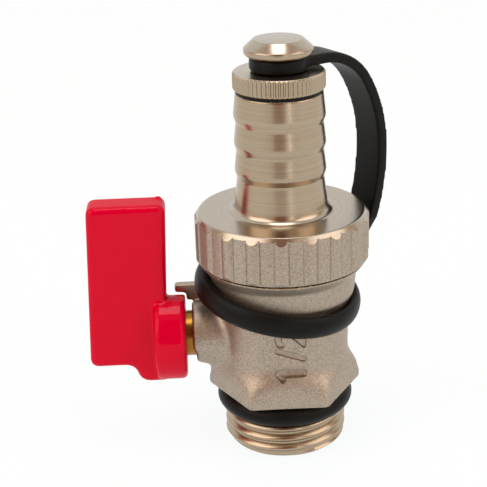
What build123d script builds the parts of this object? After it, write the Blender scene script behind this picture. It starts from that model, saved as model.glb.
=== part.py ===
from build123d import *
import math
import os

# Drain ball valve with a hose tail and a captive screw plug.
# Frame: origin at the centre of the inlet thread's end face, +Z up along the flow axis to the hose tail,
# -X along the stem to the lever. Lengths in millimetres, angles in degrees.

# Clearances
running_clearance = 0.1
seat_clearance = 0.05
stop_clearance = 0.3

# Inlet thread, half-inch pipe size
inlet_thread_diameter = 20.955
inlet_thread_length = 6.0
inlet_thread_chamfer = 0.9
inlet_bore_diameter = 12.4

# Sealing ring between the thread and the hexagon
seal_ring_section = 3.5
seal_groove_diameter = 16.5
seal_side_clearance = 0.175

# Hexagon, cut at 45 degrees above by the forged shoulder
hex_across_flats = 23.0
hex_height = 3.25
hex_corner_round = 0.8
hex_edge_round = 0.3

# Ball chamber, with a flat on the front and on the back
chamber_diameter = 22.2
chamber_flat_spacing = 20.4
chamber_height = 15.6

# Neck above the chamber: a flare, a slow taper, a shoulder that widens under the collar and a turned lip
flare_diameter = 24.35
flare_height = 2.1
neck_diameter = 25.1
neck_height = 3.65
shoulder_diameter = 28.0
shoulder_height = 1.8
lip_diameter = 28.2
lip_height = 0.3

# Outlet spigot that the hose union screws on, five-eighths pipe size
spigot_diameter = 22.9
spigot_height = 5.15
spigot_chamfer = 0.8
outlet_bore_step = 0.7

# Ball, its two seats and the screwed ring that holds them
ball_diameter = 15.0
ball_side_clearance = 0.4
ball_bore_diameter = 9.6
ball_height = 19.65
seat_bore_diameter = 9.8
seat_lip = 2.0
seat_height = 3.4
retainer_height = 3.6
retainer_bore_diameter = 10.4
retainer_slot_width = 2.0
retainer_slot_depth = 1.5

# Stem, along -X from the ball to the lever; each reach is a distance from the flow axis
stem_diameter = 7.8
stem_flange_diameter = 10.0
stem_flange_gap = 0.45
stem_flange_thickness = 1.3
stem_washer_thickness = 0.8
stem_tang_depth = 2.0
stem_tang_thickness = 3.0
stem_tang_width = 7.0
stem_flat_spacing = 5.2
stem_end_reach = 21.2
stem_ring_section = 1.1
stem_groove_width = 1.4
stem_inner_groove_reach = 12.1
stem_outer_groove_reach = 14.3

# Boss that carries the stem, and the stop lug behind it
boss_diameter = 10.9
boss_reach = 15.7
boss_root_round = 1.5
boss_edge_round = 0.4
lug_reach = 18.6
lug_root_reach = 16.6
lug_front = 3.6
lug_width = 1.9
lug_top_over_stem = 7.45
lug_thickness = 1.5
lug_root_thickness = 3.0
lug_edge_round = 0.35

# Lever: a flat blade on a round hub
hub_diameter = 15.6
hub_gap = 1.1
hub_length = 5.4
hub_edge_round = 0.9
lever_swing_angle = 90.0
recess_front_angle = 18.0
blade_thickness = 5.9
blade_inner_reach = 20.45
blade_outer_reach = 33.5
blade_lean_angle = 2.0
blade_top = 44.0
blade_bottom = 15.0
blade_step_outer = 27.45
blade_step_inner = 23.4
blade_corner_round = 1.3
blade_edge_round = 1.0
grub_diameter = 4.0
grub_offset = 2.6
grub_recess = 0.8
grub_socket_flats = 2.0
grub_socket_depth = 1.8

# Hose union: ribbed collar below, hose barb above
collar_gap = 0.2
collar_diameter = 29.5
collar_height = 8.33
collar_foot_diameter = 28.6
collar_foot_height = 0.7
collar_rim_diameter = 27.78
collar_rim_height = 1.25
rib_count = 19
rib_height = 0.4
rib_round = 1.8
rib_first_angle = -94.05
barb_length = 20.15
barb_root_diameter = 14.4
barb_crest_diameter = 15.1
barb_base_diameter = 15.5
barb_base_round = 1.3
barb_tooth_count = 3
barb_tooth_pitch = 4.6
barb_first_crest = 3.4
barb_land = 0.5
barb_step = 1.1
barb_bore_diameter = 9.2
outlet_washer_thickness = 1.5
outlet_washer_bore = 12.0

# Captive plug
plug_thread_diameter = 10.0
plug_shank_length = 8.0
plug_thread_runout = 1.0
plug_disc_diameter = 15.14
plug_disc_thickness = 2.97
plug_disc_chamfer = 0.3
knurl_count = 60
knurl_depth = 0.3
plug_neck_diameter = 5.2
plug_neck_length = 2.53
plug_head_diameter = 11.3
plug_head_height = 2.64
plug_head_under_chamfer = 0.4
plug_head_band = 0.8
plug_head_top_diameter = 8.12
plug_gasket_thickness = 0.55
plug_gasket_diameter = 14.2

# Tether: ring round the chamber, strap and eyelet, one rubber moulding
ring_radius = 13.385
ring_section_width = 2.0
ring_section_height = 4.0
ring_offset_side = 0.885
ring_offset_back = 0.2
ring_drop = 0.45
ring_side_angle = 10.4
ring_back_angle = 4.6
strap_angle = 32.0
strap_width = 6.5
strap_thickness = 1.75
strap_shoulder_reach = 7.2
strap_shoulder_radius = 10.1
strap_far_reach = 19.42
strap_far_drop = 17.565
strap_lower_radius = 36.8
strap_foot_rise = 4.9
strap_foot_radius = 12.0
strap_foot_cut = 3.5
strap_foot_cut_rise = 10.0
strap_tail = 0.4
eyelet_diameter = 9.6
eyelet_clearance = 0.2
eyelet_edge_round = 0.5

# Heights, stacked up from the thread's end face
hex_bottom = inlet_thread_length + seal_ring_section + 2 * seal_side_clearance
hex_top = hex_bottom + hex_height
chamber_top = hex_bottom + chamber_height
flare_top = chamber_top + flare_height
neck_top = flare_top + neck_height
shoulder_top = neck_top + shoulder_height
lip_top = shoulder_top + lip_height
spigot_top = lip_top + spigot_height
washer_top = spigot_top + outlet_washer_thickness
collar_bottom = lip_top + collar_gap
collar_top = collar_bottom + collar_height
barb_top = collar_top + barb_length
disc_bottom = barb_top + plug_gasket_thickness
disc_top = disc_bottom + plug_disc_thickness
head_bottom = disc_top + plug_neck_length
head_top = head_bottom + plug_head_height

# Places shared by pieces that fit each other
chamber_bore_diameter = ball_diameter + 2 * ball_side_clearance
outlet_bore_diameter = chamber_bore_diameter + 2 * outlet_bore_step
seat_sphere_radius = ball_diameter / 2 + seat_clearance
seat_drop = math.sqrt(seat_sphere_radius**2 - (seat_bore_diameter / 2) ** 2)
chamber_floor = ball_height - seat_drop - seat_lip
retainer_bottom = ball_height + seat_drop + seat_lip
stem_bore_diameter = stem_diameter + 2 * running_clearance
stem_flange_reach = ball_diameter / 2 + stem_flange_gap
stem_shoulder_reach = stem_flange_reach + stem_flange_thickness
stem_washer_reach = stem_shoulder_reach + stem_washer_thickness + running_clearance
slot_floor_reach = ball_diameter / 2 - stem_tang_depth
lug_bottom_over_stem = lug_top_over_stem - lug_thickness
hub_radius = hub_diameter / 2
hub_inner_reach = boss_reach + hub_gap
hub_outer_reach = hub_inner_reach + hub_length
hub_bottom = ball_height - hub_radius
recess_radius = math.hypot(lug_front, lug_bottom_over_stem) - stop_clearance
stop_angle = math.degrees(stop_clearance / hub_radius)
recess_end_angle = math.degrees(math.acos(lug_bottom_over_stem / hub_radius)) + lever_swing_angle + stop_angle
grub_reach = hub_inner_reach + grub_offset
grub_tip = ball_height - stem_flat_spacing / 2 - seat_clearance
eyelet_height = (disc_top + head_bottom) / 2
ring_height = flare_top - ring_drop
strap_far_height = eyelet_height - strap_far_drop
strap_foot_height = ring_height + strap_foot_rise


def turned(points):
    """A solid turned about the flow axis from a half-section of (radius, height) points."""
    return revolve(make_face(Plane.XZ * Polyline(*points, close=True)), Axis.Z)


def rod(diameter, bottom, top):
    """An upright round bar between two heights."""
    return extrude(Plane.XY.offset(bottom) * Circle(diameter / 2), top - bottom)


def tube(outer_diameter, inner_diameter, bottom, top):
    """An upright ring between two heights."""
    section = Circle(outer_diameter / 2) - Circle(inner_diameter / 2)
    return extrude(Plane.XY.offset(bottom) * section, top - bottom)


def torus_ring(centre_radius, section):
    """A sealing ring of round section about the flow axis, at height zero."""
    return revolve(Plane.XZ * Pos(centre_radius, 0) * Circle(section / 2), Axis.Z)


def stem_plane(reach):
    """A plane square to the stem, facing outwards, with its X along +Y and its Y along -Z."""
    return Plane(origin=(-reach, 0, ball_height), x_dir=(0, 1, 0), z_dir=(-1, 0, 0))


def stem_bar(section, start, end):
    """A section carried along the stem's axis between two reaches."""
    return extrude(stem_plane(start) * section, end - start)


def block(x_range, y_range, z_range):
    """A box between three pairs of limits."""
    low, high = zip(x_range, y_range, z_range)
    return Pos(*low) * Box(*(b - a for a, b in zip(low, high)), align=Align.MIN)


def hexagon():
    """The hexagon, with rounded corners and the forged slope that runs into the chamber."""
    corner_radius = hex_across_flats / math.sqrt(3)
    inner_radius = chamber_bore_diameter / 2
    slope_top = hex_top + corner_radius - inner_radius
    outline = RegularPolygon(corner_radius, 6)
    prism = extrude(Plane.XY.offset(hex_bottom) * outline, slope_top - hex_bottom)
    prism = fillet(prism.edges().filter_by(Axis.Z), hex_corner_round)
    prism = fillet(prism.edges().group_by(Axis.Z)[0], hex_edge_round)
    slope = turned([
        (0, hex_bottom),
        (corner_radius, hex_bottom),
        (corner_radius, hex_top),
        (inner_radius, slope_top),
        (0, slope_top),
    ])
    return prism & slope


def chamber_with_boss():
    """The round chamber with its two flats, and the stem boss with a filleted root."""
    half_flat = chamber_flat_spacing / 2
    chamber = rod(chamber_diameter, hex_bottom, neck_top)
    chamber &= block((-chamber_diameter, chamber_diameter), (-half_flat, half_flat), (0, neck_top))
    boss = stem_bar(Circle(boss_diameter / 2), 0, boss_reach)
    boss = fillet(boss.edges().group_by(Axis.X)[0], boss_edge_round)
    joined = chamber + boss
    root_edges = joined.edges().filter_by(
        lambda edge: -chamber_diameter / 2 - boss_root_round < edge.center().X < -half_flat / 2
        and abs(edge.center().Z - ball_height) < boss_diameter
        and edge.geom_type not in (GeomType.LINE, GeomType.CIRCLE)
    )
    return fillet(root_edges, boss_root_round)


def stop_lug():
    """The tongue behind the boss that the lever's hub stops against, on a deeper root."""
    top = ball_height + lug_top_over_stem
    depth = (lug_front, lug_front + lug_width)
    inside = -chamber_bore_diameter / 2
    tongue = block((-lug_reach, inside), depth, (top - lug_thickness, top))
    tongue = fillet(tongue.edges().group_by(Axis.X)[0], lug_edge_round)
    root = block((-lug_root_reach, inside), depth, (top - lug_root_thickness, top))
    return tongue + root


def valve_body():
    """The forging: thread, hexagon, chamber, boss, lug, neck and outlet spigot, then its bores."""
    thread_radius = inlet_thread_diameter / 2
    foot = turned([
        (0, 0),
        (thread_radius - inlet_thread_chamfer, 0),
        (thread_radius, inlet_thread_chamfer),
        (thread_radius, inlet_thread_length),
        (seal_groove_diameter / 2, inlet_thread_length),
        (seal_groove_diameter / 2, hex_bottom),
        (0, hex_bottom),
    ])
    neck = turned([
        (0, chamber_top),
        (chamber_diameter / 2, chamber_top),
        (flare_diameter / 2, flare_top),
        (neck_diameter / 2, neck_top),
        (shoulder_diameter / 2, shoulder_top),
        (lip_diameter / 2, shoulder_top),
        (lip_diameter / 2, lip_top),
        (spigot_diameter / 2, lip_top),
        (spigot_diameter / 2, spigot_top - spigot_chamfer),
        (spigot_diameter / 2 - spigot_chamfer, spigot_top),
        (0, spigot_top),
    ])
    solid = foot + hexagon() + chamber_with_boss() + neck + stop_lug()
    solid -= rod(inlet_bore_diameter, 0, chamber_floor)
    solid -= rod(chamber_bore_diameter, chamber_floor, retainer_bottom)
    solid -= rod(outlet_bore_diameter, retainer_bottom, spigot_top)
    solid -= stem_bar(Circle(stem_bore_diameter / 2), 0, boss_reach)
    solid -= stem_bar(Circle(stem_flange_diameter / 2 + running_clearance), 0, stem_washer_reach)
    return solid


def thread_o_ring():
    """The sealing ring under the hexagon."""
    centre_radius = (seal_groove_diameter + seal_ring_section) / 2
    centre_height = hex_bottom - seal_side_clearance - seal_ring_section / 2
    return Pos(0, 0, centre_height) * torus_ring(centre_radius, seal_ring_section)


def ball():
    """The bored ball, with the slot that the stem's tang turns it by."""
    radius = ball_diameter / 2
    slot_width = stem_tang_thickness + 2 * running_clearance
    slot = stem_bar(Rectangle(ball_diameter, slot_width), slot_floor_reach, radius)
    solid = Pos(0, 0, ball_height) * Sphere(radius)
    return solid - rod(ball_bore_diameter, 0, 2 * ball_height) - slot


def seat(bottom):
    """A plastic seat ring with a hollow that fits the ball."""
    outer_diameter = chamber_bore_diameter - 2 * seat_clearance
    ring = tube(outer_diameter, seat_bore_diameter, bottom, bottom + seat_height)
    return ring - Pos(0, 0, ball_height) * Sphere(seat_sphere_radius)


def seat_retainer():
    """The screwed ring above the upper seat, slotted for a key."""
    top = retainer_bottom + retainer_height
    outer_diameter = outlet_bore_diameter - 2 * running_clearance
    ring = tube(outer_diameter, retainer_bore_diameter, retainer_bottom, top)
    half_slot = retainer_slot_width / 2
    slot = block((-outer_diameter, outer_diameter), (-half_slot, half_slot), (top - retainer_slot_depth, top))
    return ring - slot


def stem():
    """The stem: tang, flange that can't blow out, two ring grooves and a flatted end."""
    round_end = Circle(stem_diameter / 2)
    groove = round_end - Circle(stem_diameter / 2 - stem_ring_section)
    tang_start = slot_floor_reach + running_clearance
    tang = stem_bar(Rectangle(stem_tang_width, stem_tang_thickness), tang_start, stem_flange_reach)
    solid = tang + stem_bar(Circle(stem_flange_diameter / 2), stem_flange_reach, stem_shoulder_reach)
    solid += stem_bar(round_end, stem_shoulder_reach, hub_inner_reach)
    solid += stem_bar(flatted_section(), hub_inner_reach, stem_end_reach)
    for reach in (stem_inner_groove_reach, stem_outer_groove_reach):
        solid -= stem_bar(groove, reach - stem_groove_width / 2, reach + stem_groove_width / 2)
    return solid


def flatted_section(clearance=0.0):
    """The stem's end section, round with two flats, grown by a clearance for its socket."""
    width = stem_diameter + 2 * clearance
    return Circle(width / 2) & Rectangle(width, stem_flat_spacing + 2 * clearance)


def stem_thrust_washer():
    """The slip washer between the stem's flange and the body."""
    section = Circle(stem_flange_diameter / 2) - Circle(stem_bore_diameter / 2)
    return stem_bar(section, stem_shoulder_reach, stem_shoulder_reach + stem_washer_thickness)


def stem_o_ring(reach):
    """A stem seal in its groove."""
    centre_radius = (stem_diameter - stem_ring_section) / 2
    return stem_plane(reach) * torus_ring(centre_radius, stem_ring_section)


def blade_outline():
    """The blade seen from the front, leaning inwards at the top, with the curved step down to the hub."""
    lean = math.tan(math.radians(blade_lean_angle))
    step_middle = (-(blade_step_outer + blade_step_inner) / 2, (blade_bottom + hub_bottom) / 2)
    step_outer = (-blade_step_outer, blade_bottom)
    step_inner = (-blade_step_inner, hub_bottom)
    first = TangentArc(step_outer, step_middle, tangent=(1, 0))
    second = TangentArc(step_inner, step_middle, tangent=(-1, 0))
    rest = Polyline(
        step_inner,
        (-blade_inner_reach, hub_bottom),
        (-blade_inner_reach + lean * (blade_top - hub_bottom), blade_top),
        (-blade_outer_reach + lean * (blade_top - blade_bottom), blade_top),
        (-blade_outer_reach, blade_bottom),
        step_outer,
    )
    return make_face([first, second, *rest.edges()])


def blade():
    """The flat blade, its outline's corners rounded and all its edges softened."""
    plate = extrude(Plane.XZ * blade_outline(), blade_thickness / 2, both=True)
    corners = plate.edges().filter_by(Axis.Y)
    outer = [e for e in corners if e.center().X < -blade_step_outer - blade_corner_round]
    top_inner = [e for e in corners if e.center().Z > blade_top - blade_edge_round]
    rounded = fillet(list({*outer, *top_inner}), blade_corner_round)
    face_edges = rounded.edges().group_by(Axis.Y)
    return fillet(face_edges[0] + face_edges[-1], blade_edge_round)


def stop_recess():
    """The stretch of the hub's rim cut away so that the stop lug can pass through the lever's swing."""
    ring = Circle(hub_diameter) - Circle(recess_radius)
    reach = (hub_inner_reach, blade_inner_reach)
    sector_points = [(0, 0)]
    steps = 4
    for step in range(steps + 1):
        angle = math.radians((recess_end_angle + recess_front_angle) * step / steps - recess_front_angle)
        sector_points.append((2 * hub_diameter * math.sin(angle), -2 * hub_diameter * math.cos(angle)))
    sector = make_face(Polyline(*sector_points, close=True))
    return stem_bar(ring & sector, *reach)


def handle():
    """The coated lever: blade and hub in one, with the stem's socket and the grub screw's hole."""
    hub = stem_bar(Circle(hub_radius), hub_inner_reach, hub_outer_reach)
    hub = fillet(hub.edges(), hub_edge_round)
    solid = hub - stop_recess() + blade()
    solid -= stem_bar(flatted_section(seat_clearance), hub_inner_reach, stem_end_reach + running_clearance)
    hole = rod(grub_diameter + 2 * seat_clearance, hub_bottom - grub_recess, ball_height)
    return solid - Pos(-grub_reach, 0, 0) * hole


def handle_grub_screw():
    """The socket grub screw under the hub, its tip on the stem's flat."""
    bottom = hub_bottom + grub_recess
    screw = rod(grub_diameter, bottom, grub_tip)
    socket = RegularPolygon(grub_socket_flats / 2, 6, major_radius=False)
    screw -= extrude(Plane.XY.offset(bottom) * socket, grub_socket_depth)
    return Pos(-grub_reach, 0, 0) * screw


def barb_profile():
    """The hose barb's outline from its base up to its mouth, as (radius, height) points."""
    root_radius = barb_root_diameter / 2
    crest_radius = barb_crest_diameter / 2
    points = [(barb_base_diameter / 2, collar_top)]
    for tooth in reversed(range(barb_tooth_count)):
        crest = barb_top - barb_first_crest - tooth * barb_tooth_pitch
        points.append((root_radius, crest - barb_land - barb_step))
        points.append((crest_radius, crest - barb_land))
        points.append((crest_radius, crest))
    points.append((root_radius, barb_top))
    return points


def collar():
    """The ribbed collar, with a turned slope at its foot and a longer one at its rim."""
    rib_centre = collar_diameter / 2 - rib_round
    section = Circle(collar_diameter / 2 - rib_height)
    for rib in range(rib_count):
        angle = rib_first_angle + rib * 360 / rib_count
        section += Rot(0, 0, angle) * Pos(rib_centre, 0, 0) * Circle(rib_round)
    return extrude(Plane.XY.offset(collar_bottom) * section, collar_height) & turned([
        (0, collar_bottom),
        (collar_foot_diameter / 2, collar_bottom),
        (collar_diameter / 2, collar_bottom + collar_foot_height),
        (collar_diameter / 2, collar_top - collar_rim_height),
        (collar_rim_diameter / 2, collar_top),
        (0, collar_top),
    ])


def hose_union():
    """The ribbed collar and the hose barb, one piece, with its bores."""
    barb = turned([(0, collar_top), *barb_profile(), (0, barb_top)])
    solid = collar() + barb
    base_edge = solid.edges().filter_by(GeomType.CIRCLE).filter_by(
        lambda edge: abs(edge.radius - barb_base_diameter / 2) < seat_clearance
    )
    solid = fillet(base_edge, barb_base_round)
    solid -= rod(spigot_diameter + 2 * running_clearance, collar_bottom, washer_top)
    solid -= rod(barb_bore_diameter, washer_top, barb_top)
    thread_bottom = barb_top - plug_shank_length - plug_thread_runout
    return solid - rod(plug_thread_diameter, thread_bottom, barb_top)


def outlet_washer():
    """The flat washer between the outlet spigot and the hose union."""
    outer_diameter = spigot_diameter - 2 * spigot_chamfer
    return tube(outer_diameter, outlet_washer_bore, spigot_top, washer_top)


def knurled_disc():
    """The plug's disc, with straight knurling round its rim and both rims chamfered."""
    radius = plug_disc_diameter / 2
    rim = []
    for point in range(2 * knurl_count):
        angle = math.pi * point / knurl_count
        reach = radius - knurl_depth * (point % 2)
        rim.append((reach * math.cos(angle), reach * math.sin(angle)))
    outline = make_face(Polyline(*rim, close=True))
    disc = extrude(Plane.XY.offset(disc_bottom) * outline, plug_disc_thickness)
    return disc & turned([
        (0, disc_bottom),
        (radius - plug_disc_chamfer, disc_bottom),
        (radius, disc_bottom + plug_disc_chamfer),
        (radius, disc_top - plug_disc_chamfer),
        (radius - plug_disc_chamfer, disc_top),
        (0, disc_top),
    ])


def plug():
    """The captive plug: screwed shank, knurled disc, neck and domed head."""
    head_radius = plug_head_diameter / 2
    head = turned([
        (0, head_bottom),
        (head_radius - plug_head_under_chamfer, head_bottom),
        (head_radius, head_bottom + plug_head_under_chamfer),
        (head_radius, head_bottom + plug_head_under_chamfer + plug_head_band),
        (plug_head_top_diameter / 2, head_top),
        (0, head_top),
    ])
    shank = rod(plug_thread_diameter - 2 * running_clearance, disc_bottom - plug_shank_length, disc_bottom)
    return shank + knurled_disc() + rod(plug_neck_diameter, disc_top, head_bottom) + head


def plug_gasket():
    """The rubber gasket between the knurled disc and the hose barb's mouth."""
    return tube(plug_gasket_diameter, plug_thread_diameter, barb_top, disc_bottom)


def strap_side(offset):
    """One side of the strap in the (reach, height) plane, offset outwards from its middle line."""
    shoulder = (strap_shoulder_reach, eyelet_height - strap_shoulder_radius)
    across = strap_far_reach - strap_shoulder_reach - strap_shoulder_radius
    turn = 2 * math.degrees(math.atan2(across, shoulder[1] - strap_far_height))
    middle_radius = strap_shoulder_radius + across / (1 - math.cos(math.radians(turn)))
    middle = (strap_far_reach - middle_radius, strap_far_height)
    lower = (strap_far_reach - strap_lower_radius, strap_far_height)
    lean = math.degrees(math.asin((strap_far_height - strap_foot_height) / strap_lower_radius))
    foot_distance = strap_lower_radius + strap_foot_radius
    foot = (
        lower[0] + foot_distance * math.cos(math.radians(lean)),
        lower[1] - foot_distance * math.sin(math.radians(lean)),
    )
    foot_side = foot[0] - strap_foot_radius + offset
    return [
        Line((0, eyelet_height + offset), (strap_shoulder_reach, eyelet_height + offset)),
        CenterArc(shoulder, strap_shoulder_radius + offset, 90, turn - 90),
        CenterArc(middle, middle_radius + offset, turn, -turn),
        CenterArc(lower, strap_lower_radius + offset, 0, -lean),
        CenterArc(foot, strap_foot_radius - offset, 180 - lean, lean),
        Line((foot_side, foot[1]), (foot_side, foot[1] - strap_tail)),
    ]


def foot_cut(face_plane):
    """The wedge that narrows the strap from its front edge, down to where it joins the ring."""
    front = strap_width / 2
    outline = Polyline(
        (front, ring_height + strap_foot_cut_rise),
        (front, 0),
        (front - strap_foot_cut, 0),
        (front - strap_foot_cut, ring_height),
        close=True,
    )
    return extrude(face_plane * make_face(outline), 2 * strap_far_reach, both=True)


def tether():
    """The rubber tether: tilted ring round the chamber, bent strap and the eyelet on the plug's neck."""
    section = Ellipse(ring_section_width / 2, ring_section_height / 2)
    ring = revolve(Plane.XZ * Pos(ring_radius, 0) * section, Axis.Z)
    place = (-ring_offset_side, ring_offset_back, ring_height)
    ring = Location(place, (ring_back_angle, ring_side_angle, 0)) * ring
    outer = strap_side(strap_thickness / 2)
    inner = strap_side(-strap_thickness / 2)
    ends = [Line(outer[0] @ 0, inner[0] @ 0), Line(outer[-1] @ 1, inner[-1] @ 1)]
    outwards = Vector(1, 0, 0).rotate(Axis.Z, strap_angle)
    frontwards = Vector(0, -1, 0).rotate(Axis.Z, strap_angle)
    side_plane = Plane(origin=(0, 0, 0), x_dir=outwards, z_dir=frontwards)
    strap = extrude(side_plane * make_face([*outer, *inner, *ends]), strap_width / 2, both=True)
    strap -= foot_cut(Plane(origin=(0, 0, 0), x_dir=frontwards, z_dir=-outwards))
    bottom = disc_top + eyelet_clearance / 2
    top = head_bottom - eyelet_clearance / 2
    eyelet = fillet(rod(eyelet_diameter, bottom, top).edges(), eyelet_edge_round)
    solid = ring + strap + eyelet
    return solid - rod(plug_neck_diameter + 2 * eyelet_clearance, bottom, top)


pieces = {
    "valve_body": valve_body(),
    "thread_o_ring": thread_o_ring(),
    "lower_seat": seat(chamber_floor),
    "ball": ball(),
    "upper_seat": seat(retainer_bottom - seat_height),
    "seat_retainer": seat_retainer(),
    "stem": stem(),
    "stem_thrust_washer": stem_thrust_washer(),
    "inner_stem_o_ring": stem_o_ring(stem_inner_groove_reach),
    "outer_stem_o_ring": stem_o_ring(stem_outer_groove_reach),
    "handle": handle(),
    "handle_grub_screw": handle_grub_screw(),
    "hose_union": hose_union(),
    "outlet_washer": outlet_washer(),
    "plug": plug(),
    "plug_gasket": plug_gasket(),
    "tether": tether(),
}

os.makedirs("parts", exist_ok=True)
for name, solid in pieces.items():
    export_step(solid, f"parts/{name}.step")
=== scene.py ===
# %% [markdown]
# # Drain ball valve with a hose tail
# The valve stands on its inlet thread: a forged body, a red lever, a ribbed hose union and a captive
# plug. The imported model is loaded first, as the frame that everything else is fitted to. Its nodes
# already sit in their real places, in metres, with the flow axis along Z and the lever on the -X
# side.

# %% Load the frame
import math

import bpy
from mathutils import Matrix, Vector


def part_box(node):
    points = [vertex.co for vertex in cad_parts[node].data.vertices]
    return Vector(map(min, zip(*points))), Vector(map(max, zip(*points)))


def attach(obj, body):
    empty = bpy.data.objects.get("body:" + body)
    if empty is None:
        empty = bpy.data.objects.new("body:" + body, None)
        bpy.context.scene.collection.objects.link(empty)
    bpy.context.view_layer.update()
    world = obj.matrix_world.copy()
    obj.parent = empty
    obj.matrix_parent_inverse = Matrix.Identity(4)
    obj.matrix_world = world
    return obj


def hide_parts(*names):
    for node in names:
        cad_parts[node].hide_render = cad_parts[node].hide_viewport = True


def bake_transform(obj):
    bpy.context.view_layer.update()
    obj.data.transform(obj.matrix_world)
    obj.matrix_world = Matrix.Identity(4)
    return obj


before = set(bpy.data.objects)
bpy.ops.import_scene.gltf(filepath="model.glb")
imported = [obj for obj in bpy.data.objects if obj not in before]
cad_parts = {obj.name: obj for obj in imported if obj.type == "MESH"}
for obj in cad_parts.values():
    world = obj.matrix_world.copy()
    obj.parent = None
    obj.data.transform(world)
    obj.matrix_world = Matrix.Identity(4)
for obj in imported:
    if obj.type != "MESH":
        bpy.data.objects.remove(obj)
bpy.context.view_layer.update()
MM = 0.001

# %% [markdown]
# ## The camera
# The photograph was taken from the front, a little to the lever's side, about 24 cm from the valve's
# foot and looking down by 21 degrees. The camera could be aimed by eye, but a measured place and
# three angles give the same perspective. The pan turns it to the side, the pitch tips it down and the
# roll leans the picture.

# %% Camera
CAMERA_PLACE_MM = Vector((-13.22, -210.15, 118.41))
CAMERA_PAN = math.radians(1.832)
CAMERA_PITCH = math.radians(21.461)
CAMERA_ROLL = math.radians(-1.74)
CAMERA_LENS_MM = 99.0
CAMERA_SENSOR_MM = 36.0

forward = Vector((
    math.sin(CAMERA_PAN) * math.cos(CAMERA_PITCH),
    math.cos(CAMERA_PAN) * math.cos(CAMERA_PITCH),
    -math.sin(CAMERA_PITCH),
))
level_right = Vector((math.cos(CAMERA_PAN), -math.sin(CAMERA_PAN), 0.0))
level_up = level_right.cross(forward)
right = math.cos(CAMERA_ROLL) * level_right + math.sin(CAMERA_ROLL) * level_up
up = math.cos(CAMERA_ROLL) * level_up - math.sin(CAMERA_ROLL) * level_right

bpy.ops.object.camera_add()
camera = bpy.context.object
camera.name = "camera"
camera.data.lens = CAMERA_LENS_MM
camera.data.sensor_width = CAMERA_SENSOR_MM
turn = Matrix((right, up, -forward)).transposed().to_4x4()
camera.matrix_world = Matrix.Translation(CAMERA_PLACE_MM * MM) @ turn
bpy.context.scene.camera = camera
print("camera at", [round(v, 4) for v in camera.location])

# %% [markdown]
# ## Two small helpers for the finishes
# Every finish is a node tree. One function turns the hex colours that a designer would write into the
# linear numbers that the shader needs, and one adds a node, with its settings, and with its inputs
# set or linked.

# %% Colour and node helpers
def linear(hex_colour):
    """The linear RGBA of an sRGB hex colour such as C8B8A0."""
    channels = [int(hex_colour[i:i + 2], 16) / 255 for i in (0, 2, 4)]
    return [c / 12.92 if c <= 0.04045 else ((c + 0.055) / 1.055) ** 2.4 for c in channels] + [1.0]


def add_node(tree, kind, inputs=None, **settings):
    """A new node with its own settings, and with inputs by name: a value, or a socket to link."""
    node = tree.nodes.new(kind)
    for name, value in settings.items():
        setattr(node, name, value)
    for name, value in (inputs or {}).items():
        if isinstance(value, bpy.types.NodeSocket):
            tree.links.new(value, node.inputs[name])
        else:
            node.inputs[name].default_value = value
    return node


def new_finish(name):
    """An empty material with its output node, ready for a shader."""
    material = bpy.data.materials.new(name)
    material.use_nodes = True
    material.node_tree.nodes.clear()
    output = add_node(material.node_tree, "ShaderNodeOutputMaterial")
    return material, material.node_tree, output


print("helpers ready, mid grey is", round(linear("808080")[0], 3))

# %% [markdown]
# ## Nickel plate on a sand-blasted forging
# The body and the collar's ribs were forged in brass, blasted with grit and nickel-plated. The plate
# follows the grit's pits, so the surface glitters in fine grains and never mirrors. A noise of a
# quarter of a millimetre gives the pits and a random grain tone, with painted shade: the colour is
# darker in the hollows than on the tops.

# %% Forged nickel
GRIT_MM = 0.24
PIT_DEPTH_MM = 0.05
PIT_SHADE_LEVEL = 0.34
TOP_LEVEL = 0.64


def forged_nickel():
    material, tree, output = new_finish("nickel plate on blasted brass forging")
    place = add_node(tree, "ShaderNodeTexCoord").outputs["Object"]
    grit = add_node(tree, "ShaderNodeTexNoise", {
        "Vector": place, "Scale": 1 / (GRIT_MM * MM), "Detail": 3.0,
    })
    # Grain tone with painted shade: the low, hollow values of the pit noise get the darker colour.
    grain_tone_and_pit_shade = add_node(tree, "ShaderNodeValToRGB", {"Fac": grit.outputs["Fac"]})
    grain_tone_and_pit_shade.color_ramp.elements[0].position = PIT_SHADE_LEVEL
    grain_tone_and_pit_shade.color_ramp.elements[0].color = linear("9F9285")
    grain_tone_and_pit_shade.color_ramp.elements[1].position = TOP_LEVEL
    grain_tone_and_pit_shade.color_ramp.elements[1].color = linear("C1B3A3")
    bump = add_node(tree, "ShaderNodeBump", {
        "Height": grit.outputs["Fac"], "Strength": 0.4, "Distance": PIT_DEPTH_MM * MM,
    })
    shader = add_node(tree, "ShaderNodeBsdfPrincipled", {
        "Base Color": grain_tone_and_pit_shade.outputs["Color"], "Metallic": 1.0, "Roughness": 0.5,
        "Normal": bump.outputs["Normal"],
    })
    tree.links.new(shader.outputs["BSDF"], output.inputs["Surface"])
    return material


FORGED_NICKEL = forged_nickel()
print("made", FORGED_NICKEL.name)

# %% [markdown]
# ## Nickel plate on turned brass
# The barb, the collar's top and the plug were turned on a lathe before plating. The tool left rings
# that run round the flow axis, on flat faces as well as on cylinders. The distance from the axis and
# the height together make a coordinate that changes across the rings and not along them. The flat
# faces that look up get a lighter, greyer copy of the same plate: painted light for their sheen.

# %% Turned nickel
TOOL_RING_MM = 0.22
TOOL_RING_DEPTH_MM = 0.02
DARK_RING_LEVEL = 0.3
LIGHT_RING_LEVEL = 0.7


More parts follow.
